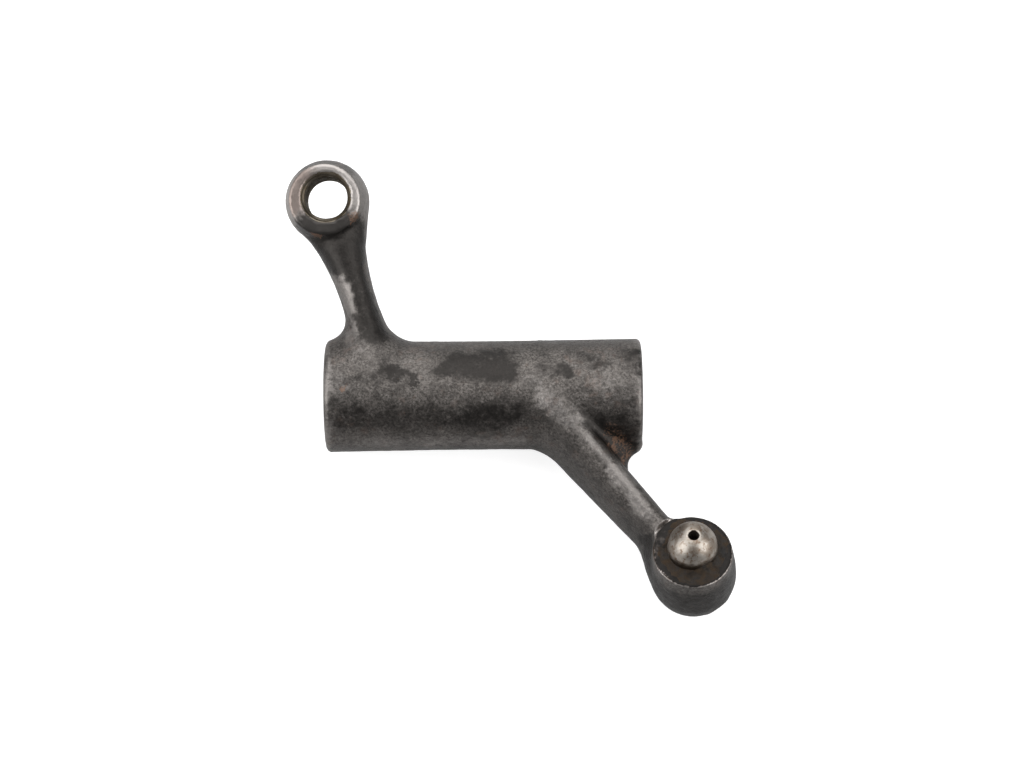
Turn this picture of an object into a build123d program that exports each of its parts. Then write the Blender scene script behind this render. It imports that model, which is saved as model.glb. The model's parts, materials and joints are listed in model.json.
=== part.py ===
from build123d import *
from math import asin, atan2, cos, degrees, hypot, radians, sin, sqrt, tan
import os

# Overhead-valve rocker arm. One drop forging swings on a fixed spindle. Its barrel carries two
# arms: one ends in an eye, tapped for the valve adjuster, and the other in a domed boss, which
# holds a pressed-in ball pin for the pushrod cup. An oilway runs from the spindle bore, along the
# second arm and up through the pin, and a small plug closes its outer end.
#
# Millimetres. X is the spindle axis, Z is up, and the origin is on that axis at the middle of the
# barrel. The part lies as it comes to rest on a table: on its barrel and on the dome of the boss.

# Spindle barrel
spindle_diameter = 12.7
spindle_clearance = 0.05  # running clearance, on the diameter
barrel_wall = 2.78  # at the ends
barrel_waist = 0.22  # how much thinner the wall is at mid-length
barrel_length = 51.4
barrel_edge_round = 0.9
barrel_seam_turn = 15  # where the turned skin closes, in degrees round from straight down
bore_chamfer = 0.6

# Adjuster eye
eye_reach = 32.25  # spindle axis to adjuster axis
eye_inset = 0.45  # adjuster axis, in from the barrel's near end
eye_diameter = 13.7
eye_draw = 1.2  # how much the side narrows up to each face, on the radius
eye_thickness = 10.8
eye_hole_offset = 0.4  # the forged eye's middle lies this far back from the adjuster axis
thread_major_diameter = 7.94
thread_pitch = 0.977  # 26 threads to the inch
thread_depth_ratio = 1.065  # diameter lost to the thread, in pitches
eye_chamfer_overlap = 0.05  # the chamfer's mouth beyond the thread, on the radius

# Ball pin
ball_reach = 28.2  # spindle axis to ball centre
ball_overhang = 7.3  # ball centre, beyond the barrel's far end
ball_diameter = 7.94
head_land = 1.7  # straight side of the head, from its seat to the ball centre
shank_diameter = 6.35
shank_length = 7.6
shank_chamfer = 0.5
pin_oil_hole_diameter = 1.7
pin_oil_hole_lip = 0.15  # chamfer at the tip

# Boss under the ball pin
boss_diameter = 13.9
boss_draw = 0.65  # how much the side narrows up to the face, on the radius
boss_side_height = 7.7  # spot-faced seat down to the centre of the dome
boss_lean = 4.2  # the forged boss leans outboard of the pin, in degrees, down from its seat
spot_face_margin = 0.3  # the cutter beyond the boss's face, on the radius
drill_point_angle = 118

# Arms: widths across, and depths along the pin or adjuster axis
arm_spread = 150.0  # angle between the two arms about the spindle, over the top, in degrees
eye_arm_inset = 10.2  # centre of the root, in from the barrel's near end
eye_arm_root_width = 9.2
eye_arm_waist_place = 0.62  # where the arm is narrowest, as a share of its length
eye_arm_waist_width = 6.3
eye_arm_tip_width = 11.4
eye_arm_waist_depth = 9.8
eye_arm_tip_depth = 9.8
eye_arm_root_step = 3.0  # the root's crown below the barrel's skin
ball_arm_inset = 19.0  # centre of the root, in from the barrel's far end
ball_arm_root_width = 6.8
ball_arm_tip_width = 5.4
ball_arm_tip_depth = 11.0
ball_arm_root_step = 1.2  # the root's crown below the barrel's skin
ball_arm_root_rise = 1.1  # the root's centre above the spindle axis
ball_arm_crown_drop = 1.8  # the crown below the boss's seat, where it crosses the pin's axis
section_fullness = 0.62  # 0.55 gives an ellipse, and more gives flatter flanks

# Blends between the arms and what they join
eye_arm_root_blend = 3.2
ball_arm_root_blend = 3.8
eye_blend = 3.2
boss_blend = 3.2
forging_allowance = 2.0  # stock on the eye's and boss's faces, before machining
cutter_length = 10.0  # of a facing cutter

# Oilway and its plug
oilway_diameter = 2.0
oilway_inset = 20.5  # where it meets the spindle axis, in from the barrel's far end
oil_gap = 0.4  # between the pin's foot and the oilway
plug_diameter = 3.2
plug_length = 2.6
plug_sink = 0.3  # plug's outer end below the dome
plug_chamfer = 0.2

# Worked out from the sizes above
half_length = barrel_length / 2
bore_radius = (spindle_diameter + spindle_clearance) / 2
barrel_radius = spindle_diameter / 2 + barrel_wall
eye_radius = eye_diameter / 2
eye_face_radius = eye_radius - eye_draw
thread_minor_radius = (thread_major_diameter - thread_depth_ratio * thread_pitch) / 2
boss_radius = boss_diameter / 2
boss_face_radius = boss_radius - boss_draw
oilway_depth = shank_length + oil_gap + oilway_diameter / 2  # below the boss's seat

# The part tips about the spindle until the dome stands as low as the barrel.
dome_drop = head_land + boss_side_height
dome_reach = hypot(ball_reach, dome_drop)
ball_swing = degrees(atan2(dome_drop, ball_reach) + asin((boss_radius - barrel_radius) / dome_reach))
eye_swing = 180 - arm_spread - ball_swing


def swung_frame(station, reach, swing, side):
    """Frame at a reach from the spindle axis, swung up from the Y axis, on the +Y or -Y side."""
    y, z = cos(radians(swing)), sin(radians(swing))
    return Plane(origin=(station, side * reach * y, reach * z), x_dir=(1, 0, 0), z_dir=(0, -side * z, y))


eye_frame = swung_frame(eye_inset - half_length, eye_reach, eye_swing, 1)
forged_eye_frame = Plane(eye_frame.location * Pos(0, -eye_hole_offset, 0))
ball_frame = swung_frame(half_length + ball_overhang, ball_reach, ball_swing, -1)
seat_frame = ball_frame.offset(-head_land)
dome_frame = seat_frame.rotated((0, -boss_lean, 0)).offset(-boss_side_height)


def bulged_radius(widest, at_face, face_height, height):
    """Radius of a bulged side at a height above its widest place. It is at_face at face_height."""
    rise = widest - at_face
    arc_radius = (face_height**2 + rise**2) / (2 * rise)
    return widest - arc_radius + sqrt(arc_radius**2 - height**2)


def turned(frame, outline):
    """Solid turned about a frame's Z axis. The outline's points are (radius, height)."""
    return frame * revolve(Plane.XZ * make_face(outline), Axis.Z)


def bar(frame, radius, bottom, top):
    """Round bar on a frame's Z axis, between two heights."""
    return frame.offset(bottom) * Cylinder(radius, top - bottom, align=(Align.CENTER, Align.CENTER, Align.MIN))


def forged_section(frame, width, depth):
    """Section of an arm: four quarters, with flanks that lean in to a rounded crown."""
    w, d = width / 2, depth / 2
    flank, crown = section_fullness * d, section_fullness * w
    quarters = [
        Bezier((w, 0), (w, flank), (crown, d), (0, d)),
        Bezier((0, d), (-crown, d), (-w, flank), (-w, 0)),
        Bezier((-w, 0), (-w, -flank), (-crown, -d), (0, -d)),
        Bezier((0, -d), (crown, -d), (w, -flank), (w, 0)),
    ]
    return frame * make_face(quarters)


def forged_arm(root, tip, crown_axis, stations):
    """Arm lofted along a straight line. Each station is (distance from the root, width, depth)."""
    along = (tip - root).normalized()
    side = along.cross(crown_axis).normalized()
    return loft(
        [
            forged_section(Plane(origin=root + along * distance, x_dir=side, z_dir=-along), width, depth)
            for distance, width, depth in stations
        ]
    )


def blended(first, second, radius):
    """Two solids joined, with a fillet all along the edge where they meet."""
    joined = first + second
    return fillet(new_edges(first, second, combined=joined), radius)


def barrel_blank():
    # Turned from an outline drawn below the axis, so that its seam runs clear of both arms.
    below = Plane.XZ.rotated((barrel_seam_turn, 0, 0))
    end, waist = -barrel_radius, barrel_waist - barrel_radius
    outline = [
        ThreePointArc((-half_length, end), (0, waist), (half_length, end)),
        Polyline((half_length, end), (half_length, 0), (-half_length, 0), (-half_length, end)),
    ]
    profile = below * make_face(outline)
    corners = profile.vertices().group_by(Axis.Z)[0]
    return revolve(fillet(corners, barrel_edge_round), Axis.X)


def eye_blank():
    top = eye_thickness / 2 + forging_allowance
    end_radius = bulged_radius(eye_radius, eye_face_radius, eye_thickness / 2, top)
    side = ThreePointArc((end_radius, -top), (eye_radius, 0), (end_radius, top))
    return turned(forged_eye_frame, [side, Polyline(side @ 1, (0, top), (0, -top), side @ 0)])


def boss_blank():
    def side_radius(height):
        return bulged_radius(boss_radius, boss_face_radius, boss_side_height, height)

    height = boss_side_height + forging_allowance
    dome = CenterArc((0, 0), boss_radius, -90, 90)
    side = ThreePointArc(dome @ 1, (side_radius(height / 2), height / 2), (side_radius(height), height))
    core = Polyline(side @ 1, (0, height), dome @ 0)
    return turned(dome_frame, [dome, side, core])


def eye_arm():
    root = Vector(eye_arm_inset - half_length, 0, 0)
    tip = forged_eye_frame.origin
    length = (tip - root).length
    root_depth = 2 * (barrel_radius - eye_arm_root_step)
    stations = [
        (barrel_radius / 2, eye_arm_root_width, root_depth),
        (length * eye_arm_waist_place, eye_arm_waist_width, eye_arm_waist_depth),
        (length - eye_radius / 3, eye_arm_tip_width, eye_arm_tip_depth),
    ]
    return forged_arm(root, tip, eye_frame.z_dir, stations)


def ball_arm():
    crown_axis = ball_frame.z_dir
    root = Vector(half_length - ball_arm_inset, 0, 0) + crown_axis * ball_arm_root_rise
    tip = seat_frame.origin - crown_axis * (ball_arm_crown_drop + ball_arm_tip_depth / 2)
    length = (tip - root).length
    root_depth = 2 * (barrel_radius - ball_arm_root_step)
    stations = [
        (barrel_radius / 3, ball_arm_root_width, root_depth),
        (length - boss_radius / 2, ball_arm_tip_width, ball_arm_tip_depth),
    ]
    return forged_arm(root, tip, crown_axis, stations)


# The oilway runs from the spindle axis to the outside of the dome, and crosses under the pin.
oilway_start = Vector(half_length - oilway_inset, 0, 0)
oilway_cross = seat_frame.origin - seat_frame.z_dir * oilway_depth
oilway_along = (oilway_cross - oilway_start).normalized()
oilway_frame = Plane(origin=oilway_start, z_dir=oilway_along)
to_dome = dome_frame.origin - oilway_start
dome_middle = to_dome.dot(oilway_along)
half_chord = sqrt(boss_radius**2 - to_dome.dot(to_dome) + dome_middle**2)
oilway_mouth = dome_middle + half_chord  # distance from the spindle axis to the dome's outside
plug_outer = oilway_mouth - plug_sink
plug_inner = plug_outer - plug_length


def rocker_body():
    body = blended(barrel_blank(), eye_arm(), eye_arm_root_blend)
    body = blended(body, ball_arm(), ball_arm_root_blend)
    body = blended(body, eye_blank(), eye_blend)
    body = blended(body, boss_blank(), boss_blend)

    # Spindle bore
    body -= bar(Plane.YZ, bore_radius, -half_length, half_length)
    rims = body.edges().filter_by(GeomType.CIRCLE)
    rims = [rim for rim in rims if abs(rim.radius - bore_radius) < 0.001]
    body = chamfer(rims, bore_chamfer)

    # Eye: both faces, then the tapped hole at its minor diameter, with a chamfer at each end
    half_height = eye_thickness / 2
    facing_radius = eye_radius + eye_hole_offset + eye_blend
    chamfer_mouth = thread_major_diameter / 2 + eye_chamfer_overlap
    chamfer_depth = chamfer_mouth - thread_minor_radius
    body -= bar(eye_frame, facing_radius, half_height, half_height + cutter_length)
    body -= bar(eye_frame, facing_radius, -half_height - cutter_length, -half_height)
    hole = Polyline(
        (0, -half_height),
        (chamfer_mouth, -half_height),
        (thread_minor_radius, chamfer_depth - half_height),
        (thread_minor_radius, half_height - chamfer_depth),
        (chamfer_mouth, half_height),
        (0, half_height),
        close=True,
    )
    body -= turned(eye_frame, hole)

    # Boss: spot face, then the hole for the pin's shank, down past the oilway to a drill point
    spot_face_radius = boss_face_radius + spot_face_margin
    shank_radius = shank_diameter / 2
    hole_depth = oilway_depth + oilway_diameter / 2
    point_depth = shank_radius / tan(radians(drill_point_angle / 2))
    body -= bar(seat_frame, spot_face_radius, 0, cutter_length)
    pin_hole = Polyline(
        (0, 0), (shank_radius, 0), (shank_radius, -hole_depth), (0, -hole_depth - point_depth), close=True
    )
    body -= turned(seat_frame, pin_hole)

    # Oilway, and the seat of its plug
    body -= bar(oilway_frame, oilway_diameter / 2, 0, plug_inner)
    body -= bar(oilway_frame, plug_diameter / 2, plug_inner, plug_outer + plug_length)
    return body


def ball_pin():
    head_radius, shank_radius, hole_radius = ball_diameter / 2, shank_diameter / 2, pin_oil_hole_diameter / 2
    crown = CenterArc((0, head_land), head_radius, 0, 90)
    sides = Polyline(
        crown @ 1,
        (0, -shank_length),
        (shank_radius - shank_chamfer, -shank_length),
        (shank_radius, shank_chamfer - shank_length),
        (shank_radius, 0),
        (head_radius, 0),
        crown @ 0,
    )
    pin = turned(seat_frame, [crown, sides])
    pin -= bar(seat_frame, hole_radius, -shank_length, head_land + head_radius)
    upwards = Axis(seat_frame.origin, seat_frame.z_dir)
    tip_rim = pin.edges().filter_by(GeomType.CIRCLE).sort_by(upwards)[-1]
    return chamfer(tip_rim, pin_oil_hole_lip)


def oilway_plug():
    plug = bar(oilway_frame, plug_diameter / 2, plug_inner, plug_outer)
    return chamfer(plug.edges().filter_by(GeomType.CIRCLE), plug_chamfer)


os.makedirs("parts", exist_ok=True)
for make in (rocker_body, ball_pin, oilway_plug):
    export_step(make(), f"parts/{make.__name__}.step")
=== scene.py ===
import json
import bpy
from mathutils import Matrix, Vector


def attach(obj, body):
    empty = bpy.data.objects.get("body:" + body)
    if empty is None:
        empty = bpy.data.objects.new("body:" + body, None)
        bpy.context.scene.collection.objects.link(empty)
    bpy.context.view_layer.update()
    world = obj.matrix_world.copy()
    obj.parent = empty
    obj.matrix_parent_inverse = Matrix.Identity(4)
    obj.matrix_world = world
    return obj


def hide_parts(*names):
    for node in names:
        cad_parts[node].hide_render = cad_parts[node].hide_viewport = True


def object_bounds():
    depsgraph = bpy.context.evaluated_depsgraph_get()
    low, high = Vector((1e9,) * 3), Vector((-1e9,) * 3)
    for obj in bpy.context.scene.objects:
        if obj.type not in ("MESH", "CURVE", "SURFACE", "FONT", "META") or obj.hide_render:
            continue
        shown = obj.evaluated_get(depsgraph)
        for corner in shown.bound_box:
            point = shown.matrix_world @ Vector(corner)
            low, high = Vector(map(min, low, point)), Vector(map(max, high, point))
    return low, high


bl_info = {
    "name": "Rocker Arm",
    "version": (1, 0, 0),
    "blender": (4, 5, 0),
    "location": "View3D > Sidebar > Rocker Arm",
    "description": "Dresses the rocker arm: worn forging, adjuster thread, ball pin, oilway plug and stage",
    "category": "Object",
}

from collections import namedtuple
from math import pi, radians

import bpy
import numpy as np
from bpy.props import FloatProperty, FloatVectorProperty, PointerProperty
from mathutils import Matrix, Vector, noise

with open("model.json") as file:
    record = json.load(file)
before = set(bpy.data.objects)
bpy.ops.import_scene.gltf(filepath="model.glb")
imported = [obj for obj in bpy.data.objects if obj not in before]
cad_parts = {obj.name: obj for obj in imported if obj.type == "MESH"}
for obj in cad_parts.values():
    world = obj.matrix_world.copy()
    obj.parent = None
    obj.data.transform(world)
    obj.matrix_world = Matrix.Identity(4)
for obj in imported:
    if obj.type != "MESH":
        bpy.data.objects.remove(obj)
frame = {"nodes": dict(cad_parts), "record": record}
cad_box = [list(corner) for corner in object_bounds()]

# Shapes are worked out in millimetres, and Blender's own units are metres.
MM = 0.001
MOUNTS = {mount["name"]: mount for mount in frame["record"]["mounts"]}


# ---------------------------------------------------------------- Sizes and colours


def length(name, millimetres, description):
    """A length in Blender's metres, with its default in millimetres."""
    settings = {"precision": 5, "subtype": "DISTANCE", "unit": "LENGTH"}
    return FloatProperty(name=name, description=description, default=millimetres * MM, **settings)


def angle(name, degrees, description):
    return FloatProperty(name=name, description=description, default=radians(degrees), subtype="ANGLE")


def power(name, watts, description):
    return FloatProperty(name=name, description=description, default=watts, min=0, unit="POWER")


def share(name, default, description):
    return FloatProperty(name=name, description=description, default=default, min=0, max=1, subtype="FACTOR")


def colour(name, default, description):
    settings = {"min": 0, "max": 1, "subtype": "COLOR"}
    return FloatVectorProperty(name=name, description=description, default=default, **settings)


class BarrelSizes(bpy.types.PropertyGroup):
    """Spindle barrel of the forging."""

    length: length("Length", 51.4, "Length of the barrel along the spindle")
    radius: length("Radius", 9.13, "Outer radius at the ends")
    waist: length("Waist", 0.22, "How much slimmer the barrel is at mid-length")
    end_round: length("End round", 0.9, "Radius of the rounded outer ends")
    bore_chamfer: length("Bore chamfer", 0.6, "Chamfer at both mouths of the bore")


class EyeSizes(bpy.types.PropertyGroup):
    """Adjuster eye, its thread, and its arm."""

    diameter: length("Diameter", 13.7, "Widest diameter of the eye")
    draw: length("Draw", 1.2, "How much the side narrows up to each face, on the radius")
    thickness: length("Thickness", 10.8, "Between the two machined faces")
    setback: length("Setback", 0.4, "How far the forged eye lies behind the adjuster axis")
    thread_diameter: length("Thread diameter", 7.94, "Major diameter of the adjuster thread")
    thread_pitch: length("Thread pitch", 0.977, "Pitch of the adjuster thread")
    arm_inset: length("Arm inset", 10.2, "Centre of the arm's root, in from the barrel's near end")
    arm_root_width: length("Arm root width", 9.2, "Width of the arm at its root")
    arm_waist_width: length("Arm waist width", 6.3, "Width of the arm where it is narrowest")
    arm_tip_width: length("Arm tip width", 11.4, "Width of the arm at the eye")
    arm_depth: length("Arm depth", 9.8, "Depth of the arm beyond its root")
    arm_root_step: length("Arm root step", 3.0, "The root's crown below the barrel's skin")
    arm_stop: length("Arm stop", 4.5, "How far short of the eye's centre the arm ends")
    root_blend: length("Root blend", 3.2, "Blend between the arm and the barrel")
    blend: length("Blend", 3.2, "Blend between the arm and the eye")


class BossSizes(bpy.types.PropertyGroup):
    """Domed boss, its ball pin, and its arm."""

    diameter: length("Diameter", 13.9, "Widest diameter of the boss, and of its dome")
    draw: length("Draw", 0.65, "How much the side narrows up to the spot face, on the radius")
    side_height: length("Side height", 7.7, "From the spot face down to the centre of the dome")
    head_land: length("Head land", 1.7, "From the spot face up to the centre of the ball")
    shank_diameter: length("Shank diameter", 6.35, "Diameter of the pin where it is pressed in")
    shank_length: length("Shank length", 7.6, "Length of the pressed shank")
    oil_hole: length("Oil hole", 1.7, "Diameter of the hole through the pin")
    arm_inset: length("Arm inset", 19.0, "Centre of the arm's root, in from the barrel's far end")
    arm_root_width: length("Arm root width", 6.8, "Width of the arm at its root")
    arm_tip_width: length("Arm tip width", 5.4, "Width of the arm at the boss")
    arm_tip_depth: length("Arm tip depth", 11.0, "Depth of the arm at the boss")
    arm_root_step: length("Arm root step", 1.2, "The root's crown below the barrel's skin")
    arm_root_rise: length("Arm root rise", 1.1, "The root's centre above the spindle axis")
    arm_crown_drop: length("Arm crown drop", 1.8, "The arm's crown below the spot face")
    arm_stop: length("Arm stop", 2.0, "How far short of the pin's axis the arm ends")
    root_blend: length("Root blend", 3.8, "Blend between the arm and the barrel")
    crown_blend: length("Crown blend", 1.6, "Blend between the arm's crown and the barrel")
    blend: length("Blend", 3.2, "Blend between the arm and the boss")


class OilwaySizes(bpy.types.PropertyGroup):
    """Oilway through the ball's arm, and its plug."""

    diameter: length("Diameter", 2.0, "Diameter of the oilway from the bore to the pin")
    inset: length("Inset", 20.5, "Where the oilway starts on the spindle axis, in from the barrel's far end")
    gap: length("Gap", 0.4, "From the pin's foot down to the oilway")
    plug_diameter: length("Plug diameter", 3.2, "Diameter of the plug's seat")
    plug_length: length("Plug length", 2.6, "Length of the plug")
    plug_sink: length("Plug sink", 0.3, "How far the plug's outer end lies below the dome")


class ForgingFinish(bpy.types.PropertyGroup):
    """How the forging is meshed, rounded and worn."""

    voxel: length("Voxel", 0.33, "Mesh size of the forging")
    worn_edge: length("Worn edge", 0.16, "Radius worn on every machined edge")
    relief: length("Relief", 0.10, "Depth of the unevenness left by the dies and the scale")
    scale_grey: colour("Scale grey", (0.088, 0.080, 0.074), "Oil-blackened forging scale")
    bare_grey: colour("Bare grey", (0.30, 0.28, 0.265), "Steel rubbed bare")
    machined_grey: colour("Machined grey", (0.44, 0.41, 0.39), "Turned and faced steel")
    varnish_brown: colour("Varnish brown", (0.17, 0.115, 0.092), "Oil baked onto the steel")
    rust_brown: colour("Rust brown", (0.16, 0.075, 0.035), "Light surface rust")
    oil_black: colour("Oil black", (0.007, 0.0055, 0.0045), "Burnt oil and dirt")
    sludge_brown: colour("Sludge brown", (0.036, 0.023, 0.013), "Brown lumps in the burnt oil")
    sludge_grit: colour("Sludge grit", (0.06, 0.046, 0.033), "Pale grit in the burnt oil")


class ThreadFinish(bpy.types.PropertyGroup):
    """Cut thread of the adjuster eye."""

    crest: colour("Crest", (0.20, 0.175, 0.14), "Bright crests")
    tint: colour("Tint", (0.10, 0.078, 0.05), "Brown varnish on the crests")
    # Near black: painted shade down in the roots, with oil.
    root: colour("Root", (0.025, 0.02, 0.014), "Oil down in the roots")


class PinFinish(bpy.types.PropertyGroup):
    """Hardened and polished ball pin."""

    steel: colour("Steel", (0.385, 0.352, 0.313), "Polished hardened steel")
    tint: colour("Tint", (0.19, 0.15, 0.115), "Brown varnish left by hot oil")
    specks: colour("Specks", (0.15, 0.09, 0.055), "Brown specks of baked oil")
    foot: colour("Foot", (0.035, 0.025, 0.017), "Burnt oil round the ball's foot")
    roughness: share("Roughness", 0.41, "Roughness of the polished ball")


class PlugFinish(bpy.types.PropertyGroup):
    """Small plug of the oilway."""

    dark_steel: colour("Dark steel", (0.10, 0.09, 0.082), "Darker mottle of the steel")
    light_steel: colour("Light steel", (0.22, 0.205, 0.19), "Lighter mottle of the steel")


class StageLook(bpy.types.PropertyGroup):
    """Floor, lamps and camera."""

    floor: colour("Floor", (0.5, 0.5, 0.5), "Floor as the metal sees it")
    glow: share("Floor glow", 0.75, "What keeps the floor white to the camera")
    room: colour("Room", (0.17, 0.17, 0.172), "Dim room that the metal reflects beyond the lamps")
    overhead_power: power("Overhead power", 13.0, "Wide soft lamp overhead")
    side_power: power("Side power", 9.0, "Each soft lamp at the sides")
    back_power: power("Back power", 2.2, "Low lamp behind the part")
    floor_size: length("Floor size", 3000, "Side of the floor")
    tilt: angle("Camera tilt", 16.8, "Camera's tilt from straight down")
    roll: angle("Camera roll", 0.5, "Camera's roll")
    distance: length("Camera distance", 465, "From the camera to the spindle axis, along the view")
    aim_right: length("Aim right", 4.63, "The picture's centre, right of the barrel's middle")
    aim_up: length("Aim up", 1.85, "The picture's centre, above the barrel's middle")
    focal_length: FloatProperty(name="Focal length", description="In mm on a 36 mm sensor", default=100.05)


# ---------------------------------------------------------------- Shape of the forging
#
# The forging is a distance field in millimetres, negative inside: rounded unions for its blends, then
# rounded cuts for what was machined. Points are arrays of shape (count, 3).

# How far the forged eye and the forged boss lean from their machined axes, about their own Y axes.
EYE_LEAN = radians(-5.0)
BOSS_LEAN = radians(-4.2)

# How far along the eye's arm, as a share of its length, it is narrowest.
WAIST_PLACE = 0.62

# Inside the barrel an arm tapers to a heel, between two places along it counted from its root. Its
# half depth loses HEEL_SINK and its half width the share HEEL_NARROWING, and it ends at HEEL_STOP.
HEEL_START, HEEL_END = 5.0, -3.0
HEEL_SINK = 5.0
HEEL_NARROWING = 0.4
HEEL_STOP = -2.0

# Radius round the other end of an arm, inside the eye or the boss.
ARM_END_ROUND = 3.5

# How far a blank reaches past the face that is cut on it, and the spot face past its boss's draw.
BLANK_OVERRUN = 2.0
SPOT_FACE_OVERRUN = 0.3

# How far the thread's outside lies within the hole that is cut for it.
THREAD_CLEARANCE = 0.06


class Axes:
    """A frame with its Z axis given, its X axis along the spindle, and a lean about its Y axis."""

    def __init__(self, origin, z_axis, lean=0.0):
        z = np.array(z_axis, float)
        z /= np.linalg.norm(z)
        x = np.array((1.0, 0.0, 0.0))
        x -= z * z[0]
        x /= np.linalg.norm(x)
        self.origin = np.array(origin, float)
        self.x = np.cos(lean) * x - np.sin(lean) * z
        self.z = np.cos(lean) * z + np.sin(lean) * x
        self.y = np.cross(self.z, self.x)

    def local(self, points):
        return (points - self.origin) @ np.stack((self.x, self.y, self.z), axis=1)

    def world(self, points):
        return self.origin + points @ np.stack((self.x, self.y, self.z))

    def moved(self, offset, lean=0.0):
        """The same frame at a local offset, leaning about its Y axis."""
        return Axes(self.world(np.array(offset, float)), self.z, lean)


def millimetres(group):
    """The sizes of a property group, in millimetres, by name."""
    return {name: getattr(group, name) / MM for name in type(group).__annotations__}


def ramp(values, low, high):
    """0 below low and 1 above high, with a smooth step between. low may be the greater."""
    t = np.clip((values - low) / (high - low), 0, 1)
    return t * t * (3 - 2 * t)


def round_union(a, b, radius):
    """Two distances joined, with a fillet of about that radius where the surfaces meet."""
    corner = np.hypot(np.maximum(radius - a, 0), np.maximum(radius - b, 0))
    return np.maximum(radius, np.minimum(a, b)) - corner


def round_overlap(a, b, radius):
    """What two shapes share, with that radius worn on the edge between them."""
    corner = np.hypot(np.maximum(radius + a, 0), np.maximum(radius + b, 0))
    return np.minimum(-radius, np.maximum(a, b)) + corner


def bulged_radius(widest, draw, face_height, height):
    """Radius of a bulged side at a height above its widest place, narrower by draw at face_height."""
    arc_radius = (face_height**2 + draw**2) / (2 * draw)
    return widest - arc_radius + np.sqrt(np.maximum(arc_radius**2 - height**2, 0))


def forged_section(across, up, half_width, half_depth):
    """Distance to an arm's section: a full oval with flattened flanks."""
    squareness, least = 2.23, 1e-3
    a, b = np.abs(across) / half_width, np.abs(up) / half_depth
    level = np.maximum((a**squareness + b**squareness) ** (1 / squareness), least)
    steepness = np.hypot(a ** (squareness - 1) / half_width, b ** (squareness - 1) / half_depth)
    return (level - 1) / np.maximum(steepness * level ** (1 - squareness), least)


def through(stations, values, places):
    """A smooth curve through the values at two or three stations, flat beyond them."""
    places = np.clip(places, stations[0], stations[-1])
    return np.polyval(np.polyfit(stations, values, len(stations) - 1), places)


def corner_side(across):
    """1 on the side of an arm where across is negative, 0 on the other, and a soft step between."""
    softness = 2.5
    return 0.5 - 0.5 * np.tanh(across / softness)


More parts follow.
